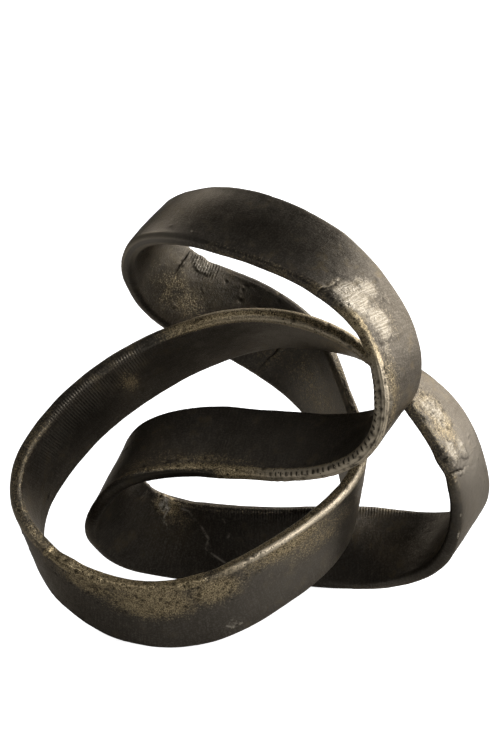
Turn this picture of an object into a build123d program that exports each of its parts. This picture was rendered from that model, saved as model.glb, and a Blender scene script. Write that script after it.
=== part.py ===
from build123d import *

import math
import os

# Metal knot ornament: one flat cast band that closes on itself as a trefoil with a half twist.
# It is cast in six lengths, which are butt welded and ground nearly flush.
# Sizes are in mm. +Z is up, and the origin is under the middle of the knot, on the surface it stands on.

# Width of the knot along the middle of its band, between the outermost pull points of the route
ROUTE_WIDTH = 244.0

# Band section: broad faces slightly crowned, edges flat with rounded corners
BAND_WIDTH = 44.0
EDGE_THICKNESS = 6.5
FACE_CROWN = 0.8
CORNER_RADIUS = 2.0

# Welds: filler through the whole section, standing a little proud at mid length
WELD_LENGTH = 3.0
WELD_RISE = 0.3

# Feet: the lowest stretches of the band are ground flat so that the knot stands firm
FOOT_DEPTH = 1.2

# Sections of a casting for each pull point of the route that it passes
SECTIONS_PER_POINT = 4

# Route of the band: pull points of a closed cubic curve along its middle,
# each with the way that the band's first edge faces there.
# The places are drawn to a scale that ROUTE_WIDTH sets.
# After one trip round the knot the first edge arrives as the second edge.
ROUTE = [
    # front sweep, rising to the right and turning back
    ((-42, -68, 16), (-0.05, -0.20, 0.95)),
    ((12, -56, 37), (-0.20, -0.25, 0.95)),
    ((62, -18, 62), (0.05, -0.30, 0.95)),
    ((54, 31, 84), (0.20, -0.65, 0.75)),
    # back strand, rising to the left
    ((18, 70, 127), (0.15, 0.40, 0.90)),
    ((-37, 66, 143), (0.50, 0.45, 0.75)),
    # top loop, round the left turn and along the top
    ((-62, 55, 182), (0.35, 0.85, 0.40)),
    ((-39, 36, 210), (0.75, 0.60, 0.25)),
    ((31, 0, 204), (0.15, 0.85, 0.50)),
    # middle curl, down the right turn and across to the left
    ((76, -33, 169), (0.55, 0.80, -0.20)),
    ((77, -47, 119), (0.40, 0.90, 0.10)),
    ((35, -29, 97), (0.20, 0.90, 0.35)),
    ((-25, -5, 97), (0.15, 0.85, 0.50)),
    ((-68, -10, 87), (0.45, 0.85, 0.20)),
    # bottom sweep, round the inner turn and along the floor
    ((-77, 0, 47), (0.20, -0.15, 0.95)),
    ((-45, 18, 20), (-0.50, 0.20, 0.85)),
    ((25, 12, 22), (0.10, -0.10, 1.00)),
    ((82, 5, 23), (0.20, 0.85, 0.55)),
    ((116, -12, 38), (0.40, 0.90, 0.15)),
    ((118, -17, 75), (0.45, 0.85, -0.30)),
    # arch, over the middle and down the left side
    ((101, -2, 110), (0.35, 0.90, 0.20)),
    ((60, 18, 140), (0.10, 0.80, -0.60)),
    ((-1, 27, 151), (0.45, 0.60, -0.65)),
    ((-80, 15, 114), (0.35, 0.55, -0.75)),
    ((-126, -13, 63), (0.25, 0.50, -0.85)),
    ((-101, -48, 30), (0.00, 0.50, -0.85)),
]

# Seams between the castings, counted in pull points along the route
SEAMS = {
    "front_left": -1.2,
    "back_low": 3.9,
    "back_high": 5.3,
    "top": 8.4,
    "inner_left": 14.1,
    "right": 19.2,
}

# Castings in order along the route, each from one seam to the next
CASTINGS = ["front_sweep", "back_strand", "top_loop", "middle_curl", "bottom_sweep", "arch"]

DRAWN_WIDTH = max(place[0] for place, _ in ROUTE) - min(place[0] for place, _ in ROUTE)
PLACES = [Vector(*place) * (ROUTE_WIDTH / DRAWN_WIDTH) for place, _ in ROUTE]
FACINGS = [Vector(*facing) for _, facing in ROUTE]


def pull(points, station, weights, reverses=False):
    """Weighted sum of the four points about a station."""
    first = math.floor(station) - 1
    total = Vector(0, 0, 0)
    for step, weight in enumerate(weights):
        lap, place = divmod(first + step, len(points))
        sign = -1 if reverses and lap % 2 else 1
        total += points[place] * (weight * sign)
    return total


def curve_weights(station):
    """Weights of a cubic B-spline at a station."""
    u = station - math.floor(station)
    return [
        (1 - u) ** 3 / 6,
        (3 * u**3 - 6 * u**2 + 4) / 6,
        (-3 * u**3 + 3 * u**2 + 3 * u + 1) / 6,
        u**3 / 6,
    ]


def slope_weights(station):
    """Weights of that curve's derivative."""
    u = station - math.floor(station)
    return [
        -((1 - u) ** 2) / 2,
        (3 * u**2 - 4 * u) / 2,
        (-3 * u**2 + 2 * u + 1) / 2,
        u**2 / 2,
    ]


def band_plane(station):
    """Plane across the band: local x runs to the first edge and z along the band."""
    middle = pull(PLACES, station, curve_weights(station))
    along = pull(PLACES, station, slope_weights(station))
    across = pull(FACINGS, station, curve_weights(station), reverses=True)
    square = across - along * (across.dot(along) / along.dot(along))
    return Plane(origin=middle, x_dir=square, z_dir=along)


def stations_per_mm(station):
    """How much of a station one millimetre along the band takes up."""
    return 1 / pull(PLACES, station, slope_weights(station)).length


def band_section(rise=0.0):
    """Face across the band, larger all round by the rise."""
    half_width = BAND_WIDTH / 2 + rise
    half_edge = EDGE_THICKNESS / 2 + rise
    crest = half_edge + FACE_CROWN
    outline = make_face(
        [
            ThreePointArc((-half_width, -half_edge), (0, -crest), (half_width, -half_edge)),
            Line((half_width, -half_edge), (half_width, half_edge)),
            ThreePointArc((half_width, half_edge), (0, crest), (-half_width, half_edge)),
            Line((-half_width, half_edge), (-half_width, -half_edge)),
        ]
    )
    return fillet(outline.vertices(), CORNER_RADIUS)


def weld_ends(seam):
    """Stations of the two faces that a weld fills between."""
    half = WELD_LENGTH / 2 * stations_per_mm(seam)
    return seam - half, seam + half


def weld(seam):
    """Filler between two castings, swelling from flush ends to its crest."""
    start, end = weld_ends(seam)
    flush = band_section()
    crest = band_section(WELD_RISE)
    return loft([band_plane(start) * flush, band_plane(seam) * crest, band_plane(end) * flush])


def casting(start_seam, end_seam):
    """Length of band between the faces of two welds."""
    start = weld_ends(start_seam)[1]
    end = weld_ends(end_seam)[0]
    steps = math.ceil((end - start) * SECTIONS_PER_POINT)
    section = band_section()
    return loft([band_plane(start + (end - start) * k / steps) * section for k in range(steps + 1)])


def band_pieces():
    """All castings and welds, by name, where the route draws them."""
    starts = list(SEAMS.values())
    ends = starts[1:] + [starts[0] + len(ROUTE)]
    pieces = {name: casting(start, end) for name, start, end in zip(CASTINGS, starts, ends)}
    for name, seam in SEAMS.items():
        pieces[f"weld_{name}"] = weld(seam)
    return pieces


def main():
    pieces = band_pieces()
    box = Compound(list(pieces.values())).bounding_box()
    to_floor = Pos(-box.center().X, -box.center().Y, -box.min.Z - FOOT_DEPTH)
    below_floor = Pos(0, 0, -FOOT_DEPTH) * Box(box.size.X, box.size.Y, 2 * FOOT_DEPTH)
    os.makedirs("parts", exist_ok=True)
    for name, piece in pieces.items():
        standing = to_floor * piece - below_floor
        export_step(standing, f"parts/{name}.step")


main()
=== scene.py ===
import math

import bpy
import numpy as np
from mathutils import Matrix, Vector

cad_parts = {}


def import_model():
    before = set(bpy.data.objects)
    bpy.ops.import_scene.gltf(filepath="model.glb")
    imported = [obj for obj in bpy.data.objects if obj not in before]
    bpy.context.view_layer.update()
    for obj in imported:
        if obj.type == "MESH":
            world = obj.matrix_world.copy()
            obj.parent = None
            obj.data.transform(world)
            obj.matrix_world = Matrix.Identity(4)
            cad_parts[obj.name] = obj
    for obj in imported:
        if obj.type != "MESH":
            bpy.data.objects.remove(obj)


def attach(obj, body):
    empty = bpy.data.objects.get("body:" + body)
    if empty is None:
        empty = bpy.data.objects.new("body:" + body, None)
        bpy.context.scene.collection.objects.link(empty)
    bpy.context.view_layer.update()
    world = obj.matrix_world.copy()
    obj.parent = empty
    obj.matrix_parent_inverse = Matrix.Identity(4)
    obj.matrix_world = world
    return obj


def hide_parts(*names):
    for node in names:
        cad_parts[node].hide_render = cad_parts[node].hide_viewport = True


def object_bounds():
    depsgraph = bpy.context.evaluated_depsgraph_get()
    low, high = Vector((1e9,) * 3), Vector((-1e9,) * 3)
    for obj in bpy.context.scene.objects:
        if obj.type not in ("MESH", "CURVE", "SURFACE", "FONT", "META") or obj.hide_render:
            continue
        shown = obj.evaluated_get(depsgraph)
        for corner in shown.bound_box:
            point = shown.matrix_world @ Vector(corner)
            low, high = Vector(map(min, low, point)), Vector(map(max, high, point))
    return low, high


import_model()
cad_low, cad_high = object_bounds()

# Its colour also carries painted shade, painted sheen and painted highlights in places.
# Metal knot: each casting and weld of the imported model is rebuilt as a finer mesh on the same route,
# with cast unevenness, pits, ridges and seams in its shape, and a blackened, rubbed metal on it.
# Sizes are in mm unless a comment says otherwise, and meshes are made in metres.
MM = 0.001

# Band section
BAND_WIDTH = 44.0
EDGE_THICKNESS = 6.5
FACE_CROWN = 0.8
CORNER_RADIUS = 2.6

# Rough skin of the casting, which stands proud all round
CAST_SKIN = 0.4

# Welds, and the filler smeared beside them
WELD_LENGTH = 3.0
WELD_RISE = 0.4
SMEAR_RISE = 0.4

# Mesh cells: length along the band, and counts round the section
CELL_LENGTH = 0.7
FACE_CELLS = 60
CORNER_CELLS = 12
EDGE_CELLS = 2

# Route of the band: pull points of a closed cubic curve and the way that the first edge faces there
ROUTE = [
    # front sweep
    ((-42, -68, 16), (-0.05, -0.20, 0.95)),
    ((12, -56, 37), (-0.20, -0.25, 0.95)),
    ((62, -18, 62), (0.05, -0.30, 0.95)),
    ((54, 31, 84), (0.20, -0.65, 0.75)),
    # back strand
    ((18, 70, 127), (0.15, 0.40, 0.90)),
    ((-37, 66, 143), (0.50, 0.45, 0.75)),
    # top loop
    ((-62, 55, 182), (0.35, 0.85, 0.40)),
    ((-39, 36, 210), (0.75, 0.60, 0.25)),
    ((31, 0, 204), (0.15, 0.85, 0.50)),
    # middle curl
    ((76, -33, 169), (0.55, 0.80, -0.20)),
    ((77, -47, 119), (0.40, 0.90, 0.10)),
    ((35, -29, 97), (0.20, 0.90, 0.35)),
    ((-25, -5, 97), (0.15, 0.85, 0.50)),
    ((-68, -10, 87), (0.45, 0.85, 0.20)),
    # bottom sweep
    ((-77, 0, 47), (0.20, -0.15, 0.95)),
    ((-45, 18, 20), (-0.50, 0.20, 0.85)),
    ((25, 12, 22), (0.10, -0.10, 1.00)),
    ((82, 5, 23), (0.20, 0.85, 0.55)),
    ((116, -12, 38), (0.40, 0.90, 0.15)),
    ((118, -17, 75), (0.45, 0.85, -0.30)),
    # arch
    ((101, -2, 110), (0.35, 0.90, 0.20)),
    ((60, 18, 140), (0.10, 0.80, -0.60)),
    ((-1, 27, 151), (0.45, 0.60, -0.65)),
    ((-80, 15, 114), (0.35, 0.55, -0.75)),
    ((-126, -13, 63), (0.25, 0.50, -0.85)),
    ((-101, -48, 30), (0.00, 0.50, -0.85)),
]
LAP = len(ROUTE)
PLACES = np.array([place for place, edge in ROUTE], float)
EDGES = np.array([edge for place, edge in ROUTE], float)

# Places on the band: stations count the pull points along the route, places across are measured from
# its middle toward its first edge, sides 1 and -1 are its two faces, and edges 1 and -1 are its first
# and second edge

# Seams: station, how far the line wanders along the band, depth of the crack that is still open,
# and the crack's place across, half width and side; elsewhere the seam is ground flush
SEAMS = {
    "weld_front_left": (-1.2, 1.0, 0.15, 20, 6, 1),
    "weld_back_low": (3.9, 1.8, 0.6, 0, 13, -1),
    "weld_back_high": (5.3, 2.6, 0.3, 12, 9, -1),
    "weld_top": (8.4, 2.6, 0.7, -17, 8, 1),
    "weld_inner_left": (14.1, 1.2, 0.2, 18, 8, 1),
    "weld_right": (19.2, 2.4, 0.8, -18, 7, -1),
}

# Half width of an open crack
CRACK_WIDTH = 0.55

# Castings between two seams, the last one reaching into the next lap
CASTINGS = {
    "front_sweep": ("weld_front_left", "weld_back_low", 0),
    "back_strand": ("weld_back_low", "weld_back_high", 0),
    "top_loop": ("weld_back_high", "weld_top", 0),
    "middle_curl": ("weld_top", "weld_inner_left", 0),
    "bottom_sweep": ("weld_inner_left", "weld_right", 0),
    "arch": ("weld_right", "weld_front_left", LAP),
}

# Rubbed patches on the faces: station, place across, side, half length, half width, strength
RUBBED = [
    # front ring, below its upper rim
    (-0.7, 17, 1, 22, 9, 0.9),
    (-0.1, 13, 1, 28, 13, 1.1),
    (0.5, 14, 1, 20, 11, 0.9),
    (1.2, 17, 1, 34, 8, 0.8),
    # This patch is partly rubbed khaki and partly painted sheen on the face below the rim
    (1.5, 9, 1, 36, 12, 0.6),
    # back strand and the inside of the top loop
    (4.0, -6, -1, 24, 18, 0.45),
    (5.05, -4, -1, 24, 12, 0.74),
    (5.25, -4, -1, 28, 16, 0.7),
    (3.4, 2, -1, 44, 22, 0.5),
    # right turn and the end of the top band
    (8.9, -6, 1, 22, 16, 0.4),
    (9.6, -14, 1, 32, 10, 0.6),
    # near end of the arch, and a patch inside it
    # The first of these is partly rubbed khaki and partly painted light on the face in the shade of the
    # right turn
    (21.0, -6, 1, 26, 20, 0.7),
    (22.82, -4, 1, 8, 11, 0.8),
    # lower rim of the middle curl
    (12.0, -19.5, -1, 50, 3, 0.9),
    (12.0, -15, -1, 44, 6, 0.5),
    (12.6, -12, -1, 22, 8, 0.4),
    # inner turn of the bottom sweep
    (14.7, 18, 1, 16, 7, 1.0),
    (14.9, 12, 1, 16, 10, 0.5),
    # right loop
    (19.95, -9, -1, 22, 13, 0.8),
]

# Bright ground patches, scuffs and chips, in the same form
GROUND = [
    # top seam
    (8.62, -13, 1, 12, 9, 1.1),
    (8.9, -8, 1, 12, 8, 0.85),
    (8.6, 0, 1, 8, 8, 0.7),
    (8.75, 8, 1, 6, 5, 0.4),
    (9.15, -14, 1, 12, 7, 0.45),
    # right loop
    (20.0, -9, -1, 14, 12, 0.62),
    (20.2, -2, -1, 10, 8, 0.35),
    (19.5, -15, -1, 7, 5, 0.9),
    (19.5, -4, -1, 7, 5, 0.6),
    # beside the rope-like ridges, the inner left turn and inside the top loop
    (9.75, -17, 1, 12, 3, 0.6),
    (14.65, 18, 1, 8, 5, 0.7),
    (5.05, 17, -1, 7, 4, 0.9),
    # scuff low on the front
    (0.57, -13, 1, 7, 5, 0.36),
    (0.54, -15.2, 1, 1.1, 0.9, 0.9),
    (0.61, -14.8, 1, 1.4, 0.9, 0.9),
    (0.57, -9.5, 1, 4, 2, 0.4),
    (0.76, -12, 1, 1.6, 0.7, 0.6),
    (0.50, -18, 1, 0.9, 0.7, 0.6),
    # chips on the right loop and on the top loop
    (18.44, -21, -1, 2.4, 0.4, 1.1),
    (18.74, -21, -1, 1.0, 0.35, 1.0),
    (7.21, -17, 1, 0.9, 0.9, 0.9),
]

# Bright metal along the rope-like ridges
ROPE_SHINE = 0.9

# Corners rubbed bright, with a painted highlight along them: edge, side, first station, last station,
# strength
BRIGHT_CORNERS = [
    (1, 1, 0.75, 2.3, 0.9),
    (-1, -1, 23.6, 24.7, 0.3),
    (-1, 1, 6.1, 7.0, 0.42),
    (-1, -1, 6.3, 7.0, 0.3),
    (-1, 1, 9.0, 10.3, 0.3),
    (-1, -1, 20.8, 22.4, 0.3),
    (-1, 1, 20.8, 22.0, 0.55),
    (1, -1, 2.6, 3.4, 0.4),
]

# Rubbed edges: edge, first station, last station, strength
RUBBED_EDGES = [
    (-1, 20.6, 22.5, 1.0),
    (-1, 22.5, 23.3, 0.35),
    (-1, 23.3, 24.9, 0.55),
    (1, -1.3, 0.5, 0.95),
    (1, 0.5, 2.4, 0.7),
    (-1, 8.6, 9.1, 0.9),
    (-1, 9.1, 11.8, 1.3),
    (-1, 7.3, 8.6, 0.45),
    (1, 2.6, 3.6, 0.4),
    (1, 14.4, 17.4, 0.4),
    (-1, 19.1, 20.6, 0.45),
]
PLAIN_EDGE_WEAR = 0.15

# Painted shade: patches where the metal is painted darker, toward black, to stand for shade and dark
# reflections, in the form of the rubbed ones; side 0 is all round an edge
PAINTED_SHADE_PATCHES = [
    # inner face of the arch
    (22.1, 3, 1, 24, 24, 0.9),
    (22.5, 4, 1, 26, 30, 0.8),
    (23.2, 0, 1, 30, 30, 0.5),
    (23.9, 0, 1, 36, 30, 0.5),
    # far corner of the arch's near edge
    (22.2, -22, -1, 45, 2.5, 0.9),
    # inside of the top loop
    (4.4, 13, -1, 26, 12, 0.7),
    (4.85, 3, -1, 24, 16, 0.7),
    (5.35, -4, -1, 26, 18, 0.75),
    (5.9, 0, -1, 30, 30, 0.6),
    # inner face of the bottom sweep
    (14.4, 0, 1, 26, 26, 0.4),
    (16.2, 0, 1, 50, 30, 0.5),
    (17.8, 0, 1, 36, 30, 0.8),
    # inner edge of the right loop
    (17.6, -22, 0, 30, 7, 0.7),
    (18.4, -22, 0, 24, 7, 0.7),
    # lower edge of the middle curl
    (12.4, -22, 0, 46, 1.4, 0.9),
    # top of the top loop
    (7.6, -3, 1, 44, 18, 0.7),
    (8.2, 4, 1, 24, 20, 0.5),
]

# Browned patches, in the same form
BROWNED = [
    (3.4, 2, -1, 44, 24, 0.8),
    (5.0, -1, -1, 44, 18, 0.9),
    (14.8, 10, 1, 24, 14, 0.7),
    (16.5, 12, 1, 30, 8, 0.4),
    (22.82, -4, 1, 12, 12, 0.8),
    (12.3, -14, -1, 40, 8, 0.5),
]

# Painted sheen: patches where the dark metal is painted lighter, to stand for sheen and light reflected
# there, in the same form
PAINTED_SHEEN_PATCHES = [
    (18.9, 0, -1, 36, 24, 1.1),
    (3.4, 2, -1, 34, 24, 1.1),
    (21.1, -5, 1, 32, 24, 1.1),
    (7.1, 15, 1, 34, 9, 0.5),
    (6.75, -21, 0, 28, 7, 1.2),
    (1.3, 9, 1, 36, 12, 0.7),
    (1.15, -4, 1, 50, 16, 0.6),
    (1.8, -2, 1, 40, 20, 0.4),
    (11.2, 2, -1, 34, 22, 0.35),
]

# Scratches: side, then the station and place across of each point of the line
SCRATCHES = [
    (1, (14.62, 21), (14.75, 16), (14.72, 10), (14.85, 6)),
    (1, (15.2, 12), (15.3, 4), (15.28, -2), (15.45, -9)),
    (1, (15.42, 16), (15.5, 10), (15.47, 6)),
    (1, (14.9, 19), (15.05, 18), (15.15, 14)),
    (1, (0.50, -12.5), (0.545, -14.8), (0.58, -13)),
]
SCRATCH_WIDTH = 0.5

# Comb marks left by the file, in the form of the rubbed patches, and their pitch
COMBED = [
    (22.75, -16, 1, 8, 6, 1.0),
    (23.15, -12, 1, 18, 9, 1.0),
    (23.4, -10, 1, 14, 8, 0.7),
    (16.2, 20, 1, 45, 3, 0.5),
]
COMB_PITCH = 1.5

# Coarser marks beside the seam inside the top loop, in the same form, and their pitch
RASPED = [(5.05, 18, -1, 8, 4.5, 1.0)]
RASP_PITCH = 1.9

# Rope-like ridges along the second edge of the middle curl: grooves, and a ladder of notches beside them,
# placed by their distance round the section from the middle of the edge
ROPED_CASTING = "middle_curl"
ROPE_START = 9.1
ROPE_END = 11.6
ROPE_GROOVES = (-3.6, -2.2, -0.9, 0.4)
ROPE_GROOVE_WIDTH = 0.38
ROPE_GROOVE_DEPTH = 0.28
LADDER_PITCH = 2.9
LADDER_DEPTH = 0.4
LADDER_PLACE = 2.6
LADDER_WIDTH = 1.4

# Pitted patches, in the form of the rubbed ones
PITTED = [
    (-0.75, 16, 1, 18, 7, 0.6),
    (-0.1, 15, 1, 24, 9, 1.0),
    (0.6, 15, 1, 20, 8, 0.6),
    (9.6, -17, 1, 16, 4, 0.3),
    (20.05, -10, -1, 14, 8, 1.0),
    (12.3, -17, -1, 40, 4, 0.3),
    (4.4, 14, -1, 20, 6, 0.2),
]

# Pits: how many on a full patch and along each station of a fully rubbed edge, how far they scatter, as
# a share of the patch and in mm about an edge's middle, their sizes and steepness, and how far one reaches
PITS_PER_PATCH = 60
PITS_PER_STATION = 10
PIT_SPREAD = 0.6
EDGE_PIT_SPREAD = 2.0
PIT_RADIUS = (0.8, 1.7)
PIT_DEPTH = (0.2, 0.65)
PIT_STEEPNESS = 2.0
PIT_REACH = 8.0

# Dents in the edges: station, edge, half length, depth, where a bump has a depth below zero
DENTS = [
    (-1.15, 1, 4, 0.9),
    (-0.95, 1, 4, -0.4),
    (8.95, -1, 5, 0.6),
    (9.7, -1, 6, -0.5),
    (19.25, -1, 4, 0.9),
    (19.5, -1, 5, -0.7),
    (4.95, 1, 5, 0.6),
    (15.1, 1, 6, 0.5),
]

# Unevenness in the shape: height, size of its features, and a shift so that no two kinds lie alike
SLOW_WAVES = (0.32, 27.0, 0)
MIDDLING_WAVES = (0.14, 8.0, 90)
FINE_WAVES = (0.06, 2.6, 0)
EDGE_WAVES = (0.55, 17.0, 50)
SMEAR_WAVES = (0.35, 5.0, 0)
SMEAR_FRAYS = (0.2, 2.2, 40)
BEAD_LUMPS = (0.9, 3.0, 0)

# Weld bead's height without its lumps, as a share of the weld's rise
BEAD_PLAIN = 0.7

# Smeared filler rises where a ground patch, made ragged, passes through this range
SMEAR_RANGE = (0.32, 0.5)

# Wandering of a seam: bends round the section, and their share
SEAM_BENDS = ((8, 0.6), (30, 0.25), (70, 0.15))

# Distances round the section from the middle of an edge, over which each mark of the edge fades
WOBBLE_FADE = (2.0, 7.0)
DENT_FADE = (2.5, 7.0)
WEAR_FADE = (3.6, 7.5)
ROPE_FADE = (4.6, 6.0)

# Stations over which bright corners with their painted highlight, rubbed edges and the two ends of the
# rope-like ridges taper
CORNER_TAPER = 0.3
EDGE_TAPER = 0.2
ROPE_START_TAPER = 0.3
ROPE_END_TAPER = 0.5

# Places across over which a bright corner comes in, and parts of the thickness, from -1 to 1, over which
# corners, patches and cracks do; what lies past the last one counts as on the face
CORNER_PLACE = (19.4, 20.4)
CORNER_SIDE = (0.25, 0.5)
PATCH_SIDE = (-0.2, 0.6)
CRACK_SIDE = (-0.4, 0.6)
ON_FACE = 0.5

# Rows of a weld's mesh, and counts of samples that the band is measured with
WELD_ROWS = 9
BOX_SAMPLES = 1500
WALK_SAMPLES = 600
LENGTH_SAMPLES = 200

# Table of random numbers behind the unevenness
NOISE_SEED = 7
NOISE_CELLS = 32

# Seeds of the seams' wandering and of the pits: how many to a station, those of the pits counted from a
# station below them all
SEAM_SEEDS = 10
PIT_SEEDS = 100
SEED_STATION = -3

# Colours of the metal
DARK_METAL = (0.055, 0.046, 0.035, 1)
DARK_METAL_LIGHT = (0.090, 0.078, 0.063, 1)
# Light tooth of the grain and of the file marks, and also the colour of the painted sheen
GRAIN_AND_SHEEN_METAL = (0.19, 0.169, 0.140, 1)
BROWN_METAL = (0.15, 0.118, 0.072, 1)
KHAKI_BRASS = (0.14, 0.107, 0.06, 1)
KHAKI_BRASS_LIGHT = (0.62, 0.49, 0.29, 1)
GROUND_HOLLOW = (0.17, 0.145, 0.105, 1)
GROUND_METAL = (0.58, 0.52, 0.43, 1)
# Gleam: rubbed bright metal on the ridges, and on the corners a painted highlight
GLEAM_METAL = (0.60, 0.51, 0.38, 1)
# Black of pits, grime and notches, and also the black that the painted shade darkens toward
PIT_AND_SHADE_BLACK = (0.016, 0.013, 0.009, 1)
EDGE_TINT = (0.8, 0.72, 0.62, 1)

# How metallic it is, its roughness from cloud to cloud, and how much smoother it is where it is ground
METALLIC = 0.8
ROUGHNESS = (0.33, 0.41)
BARE_GLOSS = 0.06

# Welds are rubbed through more than the castings
WELD_WEAR = 0.08

# Hollows this deep are black with grime
GRIME_DEPTH = 0.55

# Noises in the metal: features per metre, detail, roughness and distortion
NOISES = {
    "fine": (2400.0, 2.0, 0.6, 0.0),
    "fleck": (1500.0, 2.0, 0.7, 0.0),
    "grain": (1000.0, 3.0, 0.65, 0.0),
    "cloud": (120.0, 5.0, 0.65, 0.0),
    "broad": (30.0, 3.0, 0.5, 0.0),
}
NOISE_MIDDLE = 0.5
WRINKLE_NOISE = (170.0, 3.0, 0.5, 1.5)
BRUSH_NOISE = (1.0, 3.0, 0.6, 0.0)
HOLES_PER_METRE = 560.0

# Strokes of the brush per metre along the band and round it
BRUSH_STROKES = (1300.0, 90.0, 1.0)

# Ranges of a noise or a mesh value over which each mark of the metal comes in
LIGHTER_RANGE = (0.3, 0.7)
BROWN_CLOUD_RANGE = (0.5, 0.68)
BROWN_BROAD_RANGE = (0.42, 0.6)
BROWNED_RANGE = (0.3, 0.6)
TOOTH_RANGE = (0.42, 0.7)
WORN_RANGE = (0.3, 0.9)
FLECK_RANGE = (0.38, 0.64)
BARE_RANGE = (0.25, 0.7)
STROKE_RANGE = (0.35, 0.7)
WRINKLE_RANGE = (0.0, 0.05)
GLEAM_RANGE = (0.25, 0.5)
SCRATCH_RANGE = (0.42, 0.56)
HOLE_RANGE = (0.16, 0.34)
SPECK_RANGE = (0.4, 0.55)
NOTCH_RANGE = (0.25, 0.8)
GLOSS_RANGE = (0.3, 0.7)

# How strong each mark is
BROWN_SHARE = 0.8
TOOTH_SHARE = 0.75
TOOTH_GRAIN = 0.65
TOOTH_BRUSH = 0.35
PAINTED_SHEEN_SHARE = 0.8
COMB_SHARE = 0.6
# Share by which painted shade holds back the rubbed metal
PAINTED_SHADE_OVER_WEAR = 0.4
WORN_GRAIN = 1.3
WORN_CLOUD = 0.5
BARE_GRAIN = 0.7
BARE_CLOUD = 0.9
RIDGE_SHARE = 0.4
STROKE_SHARE = 0.6
GLEAM_LEAST = 0.6
SCRATCH_SHARE = 0.8
SPECK_SHARE = 0.9
GRIME_SHARE = 0.9

# Fine relief of the metal: heights beside the grain's, and the strength and height of the whole
FINE_HEIGHT = 0.4
BRUSH_HEIGHT = 0.5
COMB_HEIGHT = 3.0
RIDGE_HEIGHT = 2.0
SPECK_DEPTH = 1.2
BUMP_STRENGTH = 0.3
BUMP_HEIGHT = 0.5

# Floor, with its reach in metres, and studio: shades that the camera sees and that light the metal
FLOOR_REACH = 6.0
FLOOR_SEEN = (0.85, 0.85, 0.85, 1)
FLOOR_GLOW = 0.93
FLOOR_AROUND = (0.52, 0.52, 0.52, 1)
WHITE = (1, 1, 1, 1)
STUDIO_SEEN = 1.0
STUDIO_AROUND = 0.06

# Lamps: bearing in degrees from straight behind the knot, turning right, then height, distance, width and
# tallness in metres, and power in watts; all are aimed at one place, also in metres
LAMPS = {
    "panel_right": (52, 0.75, 1.6, 2.0, 1.5, 34),
    "panel_high": (56, 1.1, 0.95, 0.6, 0.4, 0.8),
    "panel_side": (105, 0.8, 1.1, 0.9, 0.75, 4),
    "panel_left": (-20, 0.9, 1.3, 0.9, 0.5, 2.6),
    "front_top": (180, 1.5, 0.75, 0.9, 0.8, 2.2),
    "front_right": (130, 0.95, 1.2, 1.0, 0.7, 10),
}
LAMP_AIM = (0, 0, 0.1)

# Camera, as the photograph was taken: what it aims at is in the route's own mm
CAMERA_TARGET = (0.8, 3.9, 104.1)
CAMERA_ELEVATION = 25.0
CAMERA_DISTANCE = 1207.5
CAMERA_NEAR = 50.0
IMAGE_HEIGHT = 750
PIXEL = 0.525
TARGET_ROW = 415
SENSOR_HEIGHT = 36.0

NOISE_TABLE = np.random.default_rng(NOISE_SEED).random((NOISE_CELLS, NOISE_CELLS, NOISE_CELLS))


def soft_noise(points, size):
    """Smooth noise from -1 to 1 with features of a size, at points in mm."""
    scaled = points / size
    cell = np.floor(scaled).astype(int)
    part = scaled - cell
    part = part * part * (3 - 2 * part)
    total = np.zeros(points.shape[:-1])
    for corner in np.ndindex(2, 2, 2):
        near = np.where(np.array(corner) == 1, part, 1 - part).prod(-1)
        index = (cell + corner) % NOISE_CELLS
        total += near * NOISE_TABLE[index[..., 0], index[..., 1], index[..., 2]]
    return 2 * total - 1


def waves(points, kind):
    """Unevenness of one kind, in mm, at points in mm."""
    height, size, shift = kind
    return height * soft_noise(points + shift, size)


def ramp(value, low, high):
    """Smooth step from 0 at low to 1 at high."""
    part = np.clip((value - low) / (high - low), 0, 1)
    return part * part * (3 - 2 * part)


def stretch(stations, start, end, taper):
    """1 between two stations and 0 outside them, with a taper about each."""
    return ramp(stations, start - taper, start + taper) * (1 - ramp(stations, end - taper, end + taper))


def band_frames(stations):
    """Middle of the band at stations, its along, across and facing directions there, and mm per station."""
    first = np.floor(stations).astype(int) - 1
    part = (stations - np.floor(stations))[..., None]
    curve = [
        (1 - part) ** 3 / 6,
        (3 * part**3 - 6 * part**2 + 4) / 6,
        (-3 * part**3 + 3 * part**2 + 3 * part + 1) / 6,
        part**3 / 6,
    ]
    slope = [
        -((1 - part) ** 2) / 2,
        (3 * part**2 - 4 * part) / 2,
        (-3 * part**2 + 2 * part + 1) / 2,
        part**2 / 2,
    ]
    middle = np.zeros(stations.shape + (3,))
    along = np.zeros_like(middle)
    across = np.zeros_like(middle)
    for step in range(4):
        lap, place = np.divmod(first + step, LAP)
        # The half twist turns the first edge into the second on every other lap
        sign = np.where(lap % 2 == 0, 1.0, -1.0)[..., None]
        middle += curve[step] * PLACES[place]
        along += slope[step] * PLACES[place]
        across += curve[step] * EDGES[place] * sign
    speed = np.linalg.norm(along, axis=-1, keepdims=True)
    along = along / speed
    across = across - along * (across * along).sum(-1, keepdims=True)
    across = across / np.linalg.norm(across, axis=-1, keepdims=True)
    return middle, along, across, np.cross(along, across), speed[..., 0]


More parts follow.
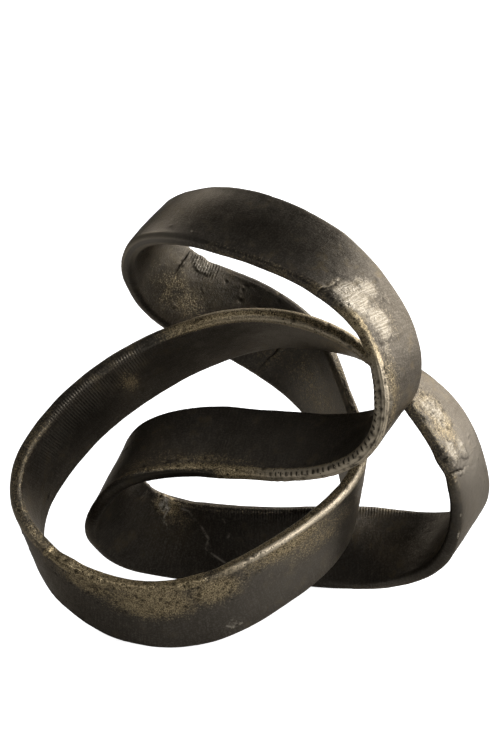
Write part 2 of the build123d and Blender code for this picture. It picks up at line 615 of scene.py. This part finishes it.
def quarter_outline():
    """A quarter of the section with its outward directions, from mid edge to mid face."""
    half_width = BAND_WIDTH / 2
    half_edge = EDGE_THICKNESS / 2
    crown_radius = (half_width**2 + FACE_CROWN**2) / (2 * FACE_CROWN)
    crown_centre = half_edge + FACE_CROWN - crown_radius
    corner_x = half_width - CORNER_RADIUS
    corner_y = crown_centre + math.sqrt((crown_radius - CORNER_RADIUS) ** 2 - corner_x**2)
    meets = math.atan2(corner_y - crown_centre, corner_x)
    places = []
    outward = []
    for step in range(EDGE_CELLS // 2):
        places.append((half_width, corner_y * step / (EDGE_CELLS // 2)))
        outward.append((1.0, 0.0))
    for step in range(CORNER_CELLS):
        turn = meets * step / CORNER_CELLS
        x, y = math.cos(turn), math.sin(turn)
        places.append((corner_x + CORNER_RADIUS * x, corner_y + CORNER_RADIUS * y))
        outward.append((x, y))
    for step in range(FACE_CELLS // 2):
        turn = meets + (math.pi / 2 - meets) * step / (FACE_CELLS // 2)
        x, y = math.cos(turn), math.sin(turn)
        places.append((crown_radius * x, crown_centre + crown_radius * y))
        outward.append((x, y))
    return np.array(places), np.array(outward)


def section_ring():
    """Points round the section, their outward directions, the way walked to each, and the whole way."""
    places, outward = quarter_outline()
    top = np.array([[0.0, EDGE_THICKNESS / 2 + FACE_CROWN]])
    up = np.array([[0.0, 1.0]])
    flip = np.array([-1.0, 1.0])
    half_places = np.concatenate([places, top, (places * flip)[:0:-1]])
    half_outward = np.concatenate([outward, up, (outward * flip)[:0:-1]])
    ring = np.concatenate([half_places, -half_places])
    directions = np.concatenate([half_outward, -half_outward])
    steps = np.linalg.norm(np.roll(ring, -1, axis=0) - ring, axis=1)
    walked = np.concatenate([[0.0], np.cumsum(steps)[:-1]])
    return ring, directions, walked, steps.sum()


def near_edge(distance, fade):
    """1 beside an edge and 0 away from it, by the distance round the section from the edge's middle."""
    return 1 - ramp(np.abs(distance), *fade)


RING, RING_OUT, RING_WALK, RING_LENGTH = section_ring()
ACROSS = RING[:, 0]
SIDE = np.clip(RING[:, 1] / (EDGE_THICKNESS / 2), -1, 1)
TO_FIRST = (RING_WALK + RING_LENGTH / 2) % RING_LENGTH - RING_LENGTH / 2
TO_SECOND = RING_WALK - RING_LENGTH / 2
ON_EDGES = np.maximum(near_edge(TO_FIRST, WOBBLE_FADE), near_edge(TO_SECOND, WOBBLE_FADE))


def seam_line(name):
    """How far a seam wanders along the band, in mm, for each point round the section."""
    station, wander = SEAMS[name][:2]
    dice = np.random.default_rng(int(SEAM_SEEDS * abs(station)))
    line = np.zeros(len(RING_WALK))
    for bends, share in SEAM_BENDS:
        offsets = dice.uniform(-1, 1, bends)
        at = RING_WALK / RING_LENGTH * bends
        low = np.floor(at).astype(int)
        part = ramp(at - low, 0, 1)
        line += share * (offsets[low % bends] * (1 - part) + offsets[(low + 1) % bends] * part)
    return wander * line


def seam_stations(name, lap, shift):
    """Stations round the section of a line along a seam, moved along the band by a shift in mm."""
    station = SEAMS[name][0] + lap
    speed = band_frames(np.array([station]))[4][0]
    line = seam_line(name)
    if lap:
        line = np.roll(line, len(line) // 2)
    return station + (line + shift) / speed


def patch_strength(patches, stations, speeds):
    """Strongest of some patches at each point of a grid."""
    total = np.zeros(stations.shape)
    for station, across, side, half_length, half_width, strength in patches:
        on_side = ramp(SIDE * side, *PATCH_SIDE) if side else 1.0
        away = ((stations - station) * speeds / half_length) ** 2 + ((ACROSS - across) / half_width) ** 2
        total = np.maximum(total, strength * on_side * np.exp(-away))
    return total


def on_rope(stations):
    """Share of the rope-like ridges at each station."""
    begun = ramp(stations, ROPE_START, ROPE_START + ROPE_START_TAPER)
    return begun * (1 - ramp(stations, ROPE_END - ROPE_END_TAPER, ROPE_END))


def corner_strength(stations):
    """Bright rubbing of the ridges, and bright rubbing with a painted highlight along the band's corners, at
    each point of a grid.
    """
    total = ROPE_SHINE * on_rope(stations) * near_edge(TO_SECOND, ROPE_FADE)
    for edge, side, start, end, strength in BRIGHT_CORNERS:
        inside = stretch(stations, start, end, CORNER_TAPER)
        beside = ramp(ACROSS * edge, *CORNER_PLACE) * ramp(SIDE * side, *CORNER_SIDE)
        total = np.maximum(total, strength * inside * beside)
    return total


def scratch_strength(stations, speeds):
    """Scratches at each point of a grid, from 0 to 1."""
    total = np.zeros(stations.shape)
    for side, *line in SCRATCHES:
        for (first, first_across), (last, last_across) in zip(line, line[1:]):
            run = (last - first) * speeds
            rise = last_across - first_across
            from_station = (stations - first) * speeds
            share = (from_station * run + (ACROSS - first_across) * rise) / (run**2 + rise**2)
            share = np.clip(share, 0, 1)
            away = (from_station - share * run) ** 2 + (ACROSS - first_across - share * rise) ** 2
            total = np.maximum(total, np.exp(-away / SCRATCH_WIDTH**2) * (SIDE * side > ON_FACE))
    return total


def edge_strength(stations):
    """Wear of the edges at each point of a grid, fading within a few mm onto the faces."""
    total = np.zeros(stations.shape)
    for edge, distance in ((1, TO_FIRST), (-1, TO_SECOND)):
        wear = np.full(stations.shape, PLAIN_EDGE_WEAR)
        for rubbed_edge, start, end, strength in RUBBED_EDGES:
            if rubbed_edge == edge:
                inside = stretch(stations, start, end, EDGE_TAPER)
                wear = np.maximum(wear, PLAIN_EDGE_WEAR + (strength - PLAIN_EDGE_WEAR) * inside)
        total += wear * near_edge(distance, WEAR_FADE)
    return total


def ladder_strength(stations):
    """Where the ladder of notches runs, from 0 to 1."""
    return on_rope(stations) * np.exp(-(((TO_SECOND - LADDER_PLACE) / LADDER_WIDTH) ** 4))


def rope_relief(stations, walked):
    """Depth of the grooves and notches of the rope-like ridges."""
    grooves = np.zeros(stations.shape)
    for groove in ROPE_GROOVES:
        grooves += ROPE_GROOVE_DEPTH * np.exp(-(((TO_SECOND - groove) / ROPE_GROOVE_WIDTH) ** 2))
    notch = 0.5 + 0.5 * np.cos(2 * math.pi * walked / LADDER_PITCH)
    return grooves * on_rope(stations) + LADDER_DEPTH * notch**2 * ladder_strength(stations)


def pit_places(start, end):
    """Seeded pits between two stations: station, distance round the section, radius and depth."""
    dice = np.random.default_rng(int(PIT_SEEDS * (start - SEED_STATION)))
    pits = []
    for station, across, side, half_length, half_width, strength in PITTED:
        if not start < station < end:
            continue
        speed = band_frames(np.array([station]))[4][0]
        for _ in range(int(PITS_PER_PATCH * strength)):
            along = station + dice.normal() * half_length * PIT_SPREAD / speed
            away = np.abs(ACROSS - across - dice.normal() * half_width * PIT_SPREAD)
            at = np.argmin(np.where(SIDE * side < ON_FACE, np.inf, away))
            pits.append((along, RING_WALK[at], dice.uniform(*PIT_RADIUS), dice.uniform(*PIT_DEPTH)))
    for edge, first, last, strength in RUBBED_EDGES:
        low, high = max(first, start), min(last, end)
        middle = 0 if edge > 0 else RING_LENGTH / 2
        for _ in range(int(max(0, high - low) * PITS_PER_STATION * strength**3)):
            around = (middle + dice.normal() * EDGE_PIT_SPREAD) % RING_LENGTH
            along = dice.uniform(low, high)
            pits.append((along, around, dice.uniform(*PIT_RADIUS), dice.uniform(*PIT_DEPTH)))
    return pits


def pit_relief(stations, speeds, start, end):
    """Depth of the pits at each point of a grid."""
    depth = np.zeros(stations.shape)
    for station, around, radius, deep in pit_places(start, end):
        rows = np.nonzero(np.abs(stations[:, 0] - station) * speeds[:, 0] < PIT_REACH)[0]
        if len(rows) == 0:
            continue
        part = slice(rows[0], rows[-1] + 1)
        along = (stations[part] - station) * speeds[part]
        beside = (RING_WALK - around + RING_LENGTH / 2) % RING_LENGTH - RING_LENGTH / 2
        away = (along**2 + beside**2) / radius**2
        depth[part] = np.maximum(depth[part], deep * np.exp(-PIT_STEEPNESS * away))
    return depth


def cast_relief(points):
    """Unevenness of a sand casting, outward, and more of it along the edges."""
    wobble = waves(points, EDGE_WAVES) * ON_EDGES
    fine = waves(points, MIDDLING_WAVES) + waves(points, FINE_WAVES)
    return CAST_SKIN + waves(points, SLOW_WAVES) + wobble + fine


def dent_relief(stations, speeds):
    """Depth of the dents in the edges."""
    depth = np.zeros(stations.shape)
    for station, edge, half_length, deep in DENTS:
        near = near_edge(TO_FIRST if edge > 0 else TO_SECOND, DENT_FADE)
        depth += deep * near * np.exp(-(((stations - station) * speeds / half_length) ** 2))
    return depth


def open_share(name, lap):
    """How far open a seam is, from 0 to 1, for each point round the section."""
    place, half_width, side = SEAMS[name][3:]
    turn = -1 if lap else 1
    away = ((ACROSS * turn - place) / half_width) ** 2
    return np.exp(-away) * ramp(SIDE * turn * side, *CRACK_SIDE)


def crack_relief(stations, speeds, name, lap):
    """Depth of the crack along the far side of a seam."""
    from_crack = (stations - seam_stations(name, lap, WELD_LENGTH / 2)) * speeds
    return SEAMS[name][2] * open_share(name, lap) * np.exp(-((from_crack / CRACK_WIDTH) ** 2))


def ground_relief(points, ground):
    """Smeared filler of the ground patches, a little proud with a ragged outline."""
    ragged = ground + waves(points, SMEAR_WAVES) + waves(points, SMEAR_FRAYS)
    return SMEAR_RISE * ramp(ragged, *SMEAR_RANGE)


def grid_points(stations, relief):
    """Points of a grid of stations round the section, pushed outward by a relief in mm."""
    middle, _, across, facing, _ = band_frames(stations)
    out_x = RING[:, 0] + RING_OUT[:, 0] * relief
    out_y = RING[:, 1] + RING_OUT[:, 1] * relief
    return middle + out_x[..., None] * across + out_y[..., None] * facing


def place_in_frame():
    """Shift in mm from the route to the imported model's frame, by the middle and the top of their boxes."""
    stations = np.linspace(0, LAP, BOX_SAMPLES)[:, None] + np.zeros(len(RING))
    points = grid_points(stations, np.zeros(stations.shape)).reshape(-1, 3)
    low, high = points.min(0), points.max(0)
    box_low, box_high = np.array(cad_low) / MM, np.array(cad_high) / MM
    middle = (box_low + box_high - low - high) / 2
    return np.array([middle[0], middle[1], box_high[2] - high[2]])


SHIFT = place_in_frame()


def band_faces(rows, columns):
    """Faces between the rows of a grid that closes round the section, and the faces of its two flat ends."""
    row, column = np.meshgrid(np.arange(rows - 1), np.arange(columns), indexing="ij")
    after = (column + 1) % columns
    here = row * columns
    there = (row + 1) * columns
    quads = np.stack([here + column, here + after, there + after, there + column], -1).reshape(-1, 4)
    start_cap = rows * columns + np.arange(columns)
    end_cap = start_cap + columns
    return quads.tolist(), [start_cap[::-1].tolist(), end_cap.tolist()]


def band_map(walked):
    """Place of each face corner, in metres along the band and round its section, and zero on its ends."""
    along = walked[:-1]
    along_after = walked[1:]
    around = np.broadcast_to(RING_WALK, along.shape)
    around_after = np.broadcast_to(np.append(RING_WALK[1:], RING_LENGTH), along.shape)
    corners = [along, around, along, around_after, along_after, around_after, along_after, around]
    # Two values for each corner of both ends
    at_ends = np.zeros(4 * len(RING_WALK))
    return np.concatenate([np.stack(corners, -1).reshape(-1), at_ends]) * MM


def mesh_object(name, points, walked, values):
    """Closed band piece from a grid of points, with its surface map and named values."""
    placed = points + SHIFT
    # Ground flat where it stands on the floor
    placed[..., 2] = np.maximum(placed[..., 2], 0.0)
    vertices = np.concatenate([placed.reshape(-1, 3), placed[0], placed[-1]]) * MM
    quads, caps = band_faces(*walked.shape)
    mesh = bpy.data.meshes.new(name)
    mesh.from_pydata(vertices.tolist(), [], quads + caps)
    mesh.polygons.foreach_set("use_smooth", [True] * len(quads) + [False] * len(caps))
    surface_map = mesh.uv_layers.new(name="band")
    surface_map.data.foreach_set("uv", band_map(walked))
    for value_name, value in values.items():
        layer = mesh.attributes.new(value_name, "FLOAT", "POINT")
        layer.data.foreach_set("value", np.concatenate([value.reshape(-1), value[0], value[-1]]))
    mesh.update()
    piece = bpy.data.objects.new(name + ".skin", mesh)
    bpy.context.collection.objects.link(piece)
    return piece


def surface_values(stations, speeds):
    """Strength of each mark of the metal, by name, at each point of a grid, the painted shade, painted sheen
    and painted highlight among them.
    """
    return {
        "wear": np.maximum(patch_strength(RUBBED, stations, speeds), edge_strength(stations)),
        "ground": patch_strength(GROUND, stations, speeds),
        "gleam": corner_strength(stations),
        "scratch": scratch_strength(stations, speeds),
        "painted_shade": patch_strength(PAINTED_SHADE_PATCHES, stations, speeds),
        "painted_sheen": patch_strength(PAINTED_SHEEN_PATCHES, stations, speeds),
        "brown": patch_strength(BROWNED, stations, speeds),
        "comb": patch_strength(COMBED, stations, speeds),
        "rasp": patch_strength(RASPED, stations, speeds),
    }


def walked_length(stations):
    """Length along the middle of the band, in mm, from its lowest station."""
    marks = np.linspace(stations.min(), stations.max(), WALK_SAMPLES)
    speeds = band_frames(marks)[4]
    steps = (speeds[1:] + speeds[:-1]) / 2 * np.diff(marks)
    return np.interp(stations, marks, np.concatenate([[0.0], np.cumsum(steps)]))


def grid_between(start, end, rows):
    """Grid of stations from one line round the section to another, with its mm per station."""
    share = np.linspace(0, 1, rows)[:, None]
    stations = start * (1 - share) + end * share
    return stations, band_frames(stations)[4]


def band_piece(name, stations, speeds, values, hollows, bead):
    """Piece on a grid of stations: cast skin, smeared filler and bead, less its hollows and dents."""
    flat = grid_points(stations, np.zeros(stations.shape))
    values["grime"] = np.clip(hollows / GRIME_DEPTH, 0, 1)
    relief = cast_relief(flat) + ground_relief(flat, values["ground"]) + bead
    relief -= hollows + dent_relief(stations, speeds)
    return mesh_object(name, grid_points(stations, relief), walked_length(stations), values)


def casting(name):
    """One cast length of the band."""
    start_seam, end_seam, lap = CASTINGS[name]
    start = seam_stations(start_seam, 0, WELD_LENGTH / 2)
    end = seam_stations(end_seam, lap, -WELD_LENGTH / 2)
    samples = np.linspace(start.mean(), end.mean(), LENGTH_SAMPLES)
    length = band_frames(samples)[4].mean() * (end.mean() - start.mean())
    stations, speeds = grid_between(start, end, int(length / CELL_LENGTH) + 1)
    values = surface_values(stations, speeds)
    hollows = pit_relief(stations, speeds, start.min(), end.max())
    hollows += crack_relief(stations, speeds, start_seam, 0)
    hollows += crack_relief(stations, speeds, end_seam, lap)
    if name == ROPED_CASTING:
        hollows += rope_relief(stations, walked_length(stations))
        values["ladder"] = ladder_strength(stations)
    return band_piece(name, stations, speeds, values, hollows, 0.0)


def weld(name):
    """Ground filler of one seam, lumpy and a little proud."""
    start = seam_stations(name, 0, -WELD_LENGTH / 2)
    end = seam_stations(name, 0, WELD_LENGTH / 2)
    stations, speeds = grid_between(start, end, WELD_ROWS)
    flat = grid_points(stations, np.zeros(stations.shape))
    rounded = np.sin(math.pi * np.linspace(0, 1, WELD_ROWS))[:, None]
    lumpy = BEAD_PLAIN + waves(flat, BEAD_LUMPS)
    bead = rounded * WELD_RISE * open_share(name, 0) * lumpy
    hollows = crack_relief(stations, speeds, name, 0)
    return band_piece(name, stations, speeds, surface_values(stations, speeds), hollows, bead)


def add_node(tree, kind, inputs=None, **fields):
    """New node with its fields set and its inputs set or linked."""
    node = tree.nodes.new(kind)
    for field, value in fields.items():
        setattr(node, field, value)
    for key, value in (inputs or {}).items():
        if isinstance(value, bpy.types.NodeSocket):
            tree.links.new(value, node.inputs[key])
        else:
            node.inputs[key].default_value = value
    return node


def own_place(tree):
    """Place on the piece in its own coordinates."""
    return add_node(tree, "ShaderNodeTexCoord").outputs["Object"]


def band_place(tree):
    """Place on the band's surface map."""
    return add_node(tree, "ShaderNodeUVMap", uv_map="band").outputs[0]


def value_of(tree, name):
    """Named value carried by the mesh."""
    return add_node(tree, "ShaderNodeAttribute", attribute_name=name).outputs["Fac"]


def calc(tree, operation, first, second=0.0, clamp=False):
    """One arithmetic step."""
    inputs = {0: first, 1: second}
    return add_node(tree, "ShaderNodeMath", inputs, operation=operation, use_clamp=clamp).outputs[0]


def plus(tree, first, second):
    """Two values added."""
    return calc(tree, "ADD", first, second)


def times(tree, first, second):
    """Two values multiplied."""
    return calc(tree, "MULTIPLY", first, second)


def around_zero(tree, value, amount):
    """Noise value moved to spread about zero by an amount."""
    return times(tree, calc(tree, "SUBTRACT", value, NOISE_MIDDLE), amount)


def spread(tree, value, reach, to=(0.0, 1.0)):
    """Value moved smoothly from one range to another."""
    inputs = {"Value": value, "From Min": reach[0], "From Max": reach[1], "To Min": to[0], "To Max": to[1]}
    return add_node(tree, "ShaderNodeMapRange", inputs, interpolation_type="SMOOTHSTEP").outputs["Result"]


def blend(tree, share, first, second):
    """Mix of two colours by a share; the node has colours at inputs 6 and 7 and their mix at output 2."""
    return add_node(tree, "ShaderNodeMix", {0: share, 6: first, 7: second}, data_type="RGBA").outputs[2]


def noise(tree, place, scale, detail, roughness, distortion):
    """Noise value at a place."""
    inputs = {"Vector": place, "Scale": scale, "Detail": detail, "Roughness": roughness}
    inputs["Distortion"] = distortion
    return add_node(tree, "ShaderNodeTexNoise", inputs).outputs["Fac"]


def brushed(tree):
    """Noise drawn out round the band, like the strokes of a wire brush."""
    inputs = {0: band_place(tree), 1: BRUSH_STROKES}
    drawn = add_node(tree, "ShaderNodeVectorMath", inputs, operation="MULTIPLY").outputs[0]
    return noise(tree, drawn, *BRUSH_NOISE)


def marks_along(tree, pitch, name):
    """Waves along the band with a pitch in mm, where a named value of the mesh says so."""
    along = add_node(tree, "ShaderNodeSeparateXYZ", {0: band_place(tree)}).outputs["X"]
    wave = calc(tree, "COSINE", times(tree, along, 2 * math.pi / (pitch * MM)))
    return times(tree, wave, value_of(tree, name))


def wrinkles(tree):
    """Thin winding ridges of smeared filler, from 0 to 1."""
    winding = noise(tree, own_place(tree), *WRINKLE_NOISE)
    from_crest = calc(tree, "ABSOLUTE", calc(tree, "SUBTRACT", winding, NOISE_MIDDLE))
    return spread(tree, from_crest, WRINKLE_RANGE, (1.0, 0.0))


def textures(tree):
    """Noises and marks, by name, that the metal's colour and fine relief are made of."""
    place = own_place(tree)
    texture = {name: noise(tree, place, *kind) for name, kind in NOISES.items()}
    texture["brush"] = brushed(tree)
    texture["ridge"] = wrinkles(tree)
    combed = marks_along(tree, COMB_PITCH, "comb")
    texture["comb"] = plus(tree, combed, marks_along(tree, RASP_PITCH, "rasp"))
    return texture


def worn_share(tree, texture, lighter):
    """Where the metal is rubbed through, from 0 to 1."""
    # Painted shade also holds back the rubbed metal
    painted_shade = times(tree, value_of(tree, "painted_shade"), PAINTED_SHADE_OVER_WEAR)
    wear = calc(tree, "SUBTRACT", value_of(tree, "wear"), painted_shade)
    wear = plus(tree, wear, around_zero(tree, texture["grain"], WORN_GRAIN))
    wear = plus(tree, wear, around_zero(tree, texture["cloud"], WORN_CLOUD))
    return spread(tree, plus(tree, wear, lighter), WORN_RANGE)


def bare_share(tree, texture):
    """Where the metal is ground bare, from 0 to 1."""
    bare = plus(tree, value_of(tree, "ground"), around_zero(tree, texture["cloud"], BARE_CLOUD))
    bare = plus(tree, bare, around_zero(tree, texture["grain"], BARE_GRAIN))
    return spread(tree, bare, BARE_RANGE)


def speck_share(tree, texture, worn):
    """Small dark holes in the rubbed metal, from 0 to 1."""
    inputs = {"Vector": own_place(tree), "Scale": HOLES_PER_METRE}
    holes = add_node(tree, "ShaderNodeTexVoronoi", inputs).outputs["Distance"]
    speck = spread(tree, holes, HOLE_RANGE, (1.0, 0.0))
    speck = times(tree, speck, spread(tree, texture["cloud"], SPECK_RANGE))
    return times(tree, speck, times(tree, worn, SPECK_SHARE))


def dark_metal(tree, texture):
    """Colour of the blackened metal, with its brown clouds, brushed grain and file marks, and with painted
    sheen and painted shade.
    """
    cloud = texture["cloud"]
    broad = texture["broad"]
    colour = blend(tree, spread(tree, broad, LIGHTER_RANGE), DARK_METAL, DARK_METAL_LIGHT)
    brown = times(tree, spread(tree, cloud, BROWN_CLOUD_RANGE), spread(tree, broad, BROWN_BROAD_RANGE))
    browned = times(tree, value_of(tree, "brown"), spread(tree, cloud, BROWNED_RANGE))
    brown = calc(tree, "MAXIMUM", brown, browned)
    colour = blend(tree, times(tree, brown, BROWN_SHARE), colour, BROWN_METAL)
    strokes = times(tree, texture["brush"], TOOTH_BRUSH)
    tooth = plus(tree, times(tree, texture["grain"], TOOTH_GRAIN), strokes)
    colour = blend(tree, spread(tree, tooth, TOOTH_RANGE, (0.0, TOOTH_SHARE)), colour, GRAIN_AND_SHEEN_METAL)
    # Painted sheen: the dark metal lightened where the painted sheen patches lie
    colour = blend(tree, times(tree, value_of(tree, "painted_sheen"), PAINTED_SHEEN_SHARE), colour, GRAIN_AND_SHEEN_METAL)
    # Painted shade: the metal darkened toward black where the painted shade patches lie
    colour = blend(tree, value_of(tree, "painted_shade"), colour, PIT_AND_SHADE_BLACK)
    combed = calc(tree, "MULTIPLY", texture["comb"], COMB_SHARE, clamp=True)
    return blend(tree, combed, colour, GRAIN_AND_SHEEN_METAL)


def khaki_brass(tree, texture):
    """Colour of the rubbed metal, flecked."""
    return blend(tree, spread(tree, texture["fleck"], FLECK_RANGE), KHAKI_BRASS, KHAKI_BRASS_LIGHT)


def ground_metal(tree, texture):
    """Colour of the ground metal, with its smeared ridges and brush strokes."""
    strokes = spread(tree, texture["brush"], STROKE_RANGE, (0.0, STROKE_SHARE))
    filed = plus(tree, times(tree, texture["ridge"], RIDGE_SHARE), strokes)
    return blend(tree, filed, GROUND_HOLLOW, GROUND_METAL)


def metal_colour(tree, texture, worn, bare, speck):
    """Colour of the metal: dark, rubbed and ground, with gleams of rubbed metal and painted highlight,
    broken scratches and grime.
    """
    colour = blend(tree, worn, dark_metal(tree, texture), khaki_brass(tree, texture))
    colour = blend(tree, bare, colour, ground_metal(tree, texture))
    # Painted highlight along the bright corners, with rubbed metal on the ridges
    gleam = spread(tree, texture["cloud"], GLEAM_RANGE, (GLEAM_LEAST, 1.0))
    colour = blend(tree, times(tree, value_of(tree, "gleam"), gleam), colour, GLEAM_METAL)
    scratch = times(tree, value_of(tree, "scratch"), spread(tree, texture["cloud"], SCRATCH_RANGE))
    colour = blend(tree, times(tree, scratch, SCRATCH_SHARE), colour, GROUND_METAL)
    notch = spread(tree, marks_along(tree, LADDER_PITCH, "ladder"), NOTCH_RANGE)
    grime = calc(tree, "MAXIMUM", value_of(tree, "grime"), notch)
    grime = calc(tree, "MAXIMUM", speck, times(tree, grime, GRIME_SHARE))
    return blend(tree, grime, colour, PIT_AND_SHADE_BLACK)


def metal_height(tree, texture, worn, bare, speck):
    """Height of the fine relief, where the grain's is 1."""
    height = plus(tree, times(tree, texture["fine"], FINE_HEIGHT), texture["grain"])
    height = plus(tree, height, times(tree, texture["brush"], BRUSH_HEIGHT))
    height = plus(tree, height, times(tree, texture["comb"], COMB_HEIGHT))
    height = plus(tree, height, times(tree, times(tree, texture["ridge"], bare), RIDGE_HEIGHT))
    height = plus(tree, height, times(tree, texture["fleck"], worn))
    return calc(tree, "SUBTRACT", height, times(tree, speck, SPECK_DEPTH))


def patina(name, lighter):
    """Blackened copper alloy, rubbed through to khaki brass where the mesh says so."""
    material = bpy.data.materials.new(name)
    material.use_nodes = True
    tree = material.node_tree
    texture = textures(tree)
    worn = worn_share(tree, texture, lighter)
    bare = bare_share(tree, texture)
    speck = speck_share(tree, texture, worn)
    rough = spread(tree, texture["cloud"], GLOSS_RANGE, ROUGHNESS)
    rough = calc(tree, "SUBTRACT", rough, times(tree, bare, BARE_GLOSS))
    inputs = {"Strength": BUMP_STRENGTH, "Distance": BUMP_HEIGHT * MM}
    inputs["Height"] = metal_height(tree, texture, worn, bare, speck)
    bump = add_node(tree, "ShaderNodeBump", inputs).outputs[0]
    shader = tree.nodes["Principled BSDF"]
    shader.inputs["Metallic"].default_value = METALLIC
    shader.inputs["Specular Tint"].default_value = EDGE_TINT
    tree.links.new(metal_colour(tree, texture, worn, bare, speck), shader.inputs["Base Color"])
    tree.links.new(rough, shader.inputs["Roughness"])
    tree.links.new(bump, shader.inputs["Normal"])
    return material


def dress(piece, node, material):
    """Piece stands for a CAD node, rides with the knot and carries a material."""
    piece.data.materials.append(material)
    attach(piece, "root")
    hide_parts(node)


def floor_white():
    """White with a soft shadow to the camera, and plain grey to all else."""
    material = bpy.data.materials.new("floor_white")
    material.use_nodes = True
    tree = material.node_tree
    tree.nodes.remove(tree.nodes["Principled BSDF"])
    seen = add_node(tree, "ShaderNodeLightPath").outputs["Is Camera Ray"]
    matte = add_node(tree, "ShaderNodeBsdfDiffuse", {"Color": FLOOR_SEEN}).outputs[0]
    glow = add_node(tree, "ShaderNodeEmission", {"Color": WHITE, "Strength": FLOOR_GLOW}).outputs[0]
    bright = add_node(tree, "ShaderNodeAddShader", {0: matte, 1: glow}).outputs[0]
    around = add_node(tree, "ShaderNodeBsdfDiffuse", {"Color": FLOOR_AROUND}).outputs[0]
    both = add_node(tree, "ShaderNodeMixShader", {0: seen, 1: around, 2: bright}).outputs[0]
    tree.links.new(both, tree.nodes["Material Output"].inputs["Surface"])
    return material


def floor():
    """Plain level surface under the knot."""
    mesh = bpy.data.meshes.new("floor")
    signs = ((-1, -1), (1, -1), (1, 1), (-1, 1))
    corners = [(x * FLOOR_REACH, y * FLOOR_REACH, 0) for x, y in signs]
    mesh.from_pydata(corners, [], [(0, 1, 2, 3)])
    mesh.materials.append(floor_white())
    piece = bpy.data.objects.new("floor", mesh)
    bpy.context.collection.objects.link(piece)


def world():
    """White studio to the camera, dim all round to the metal."""
    studio = bpy.data.worlds.new("studio")
    studio.use_nodes = True
    tree = studio.node_tree
    seen = add_node(tree, "ShaderNodeLightPath").outputs["Is Camera Ray"]
    white = add_node(tree, "ShaderNodeBackground", {"Color": WHITE, "Strength": STUDIO_SEEN}).outputs[0]
    dim = add_node(tree, "ShaderNodeBackground", {"Color": WHITE, "Strength": STUDIO_AROUND}).outputs[0]
    both = add_node(tree, "ShaderNodeMixShader", {0: seen, 1: dim, 2: white}).outputs[0]
    tree.links.new(both, tree.nodes["World Output"].inputs["Surface"])
    bpy.context.scene.world = studio


def soft_box(name, bearing, height, distance, width, tall, power):
    """Area lamp aimed at the middle of the knot."""
    lamp = bpy.data.lights.new(name, "AREA")
    lamp.shape = "RECTANGLE"
    lamp.size = width
    lamp.size_y = tall
    lamp.energy = power
    piece = bpy.data.objects.new(name, lamp)
    turn = math.radians(bearing)
    spot = np.array([distance * math.sin(turn), distance * math.cos(turn), height])
    piece.location = spot
    aim = np.array(LAMP_AIM) - spot
    away = math.atan2(math.hypot(aim[0], aim[1]), -aim[2])
    piece.rotation_euler = (away, 0, math.atan2(aim[1], aim[0]) - math.pi / 2)
    bpy.context.collection.objects.link(piece)


def camera():
    """Camera at the photograph's angle and framing."""
    data = bpy.data.cameras.new("camera")
    data.sensor_fit = "VERTICAL"
    data.sensor_height = SENSOR_HEIGHT
    data.lens = SENSOR_HEIGHT * CAMERA_DISTANCE / (IMAGE_HEIGHT * PIXEL)
    data.shift_y = (TARGET_ROW - IMAGE_HEIGHT / 2) / IMAGE_HEIGHT
    data.clip_start = CAMERA_NEAR * MM
    piece = bpy.data.objects.new("camera", data)
    tilt = math.radians(CAMERA_ELEVATION)
    back = np.array([0, -math.cos(tilt), math.sin(tilt)]) * CAMERA_DISTANCE
    piece.location = (np.array(CAMERA_TARGET) + SHIFT + back) * MM
    piece.rotation_euler = (math.pi / 2 - tilt, 0, 0)
    bpy.context.collection.objects.link(piece)
    bpy.context.scene.camera = piece


dark_bronze = patina("dark_bronze", 0.0)
weld_metal = patina("weld_metal", WELD_WEAR)
for node in CASTINGS:
    dress(casting(node), node, dark_bronze)
for node in SEAMS:
    dress(weld(node), node, weld_metal)

floor()
world()
for name, lamp in LAMPS.items():
    soft_box(name, *lamp)
camera()
bpy.context.scene.view_settings.view_transform = "Standard"
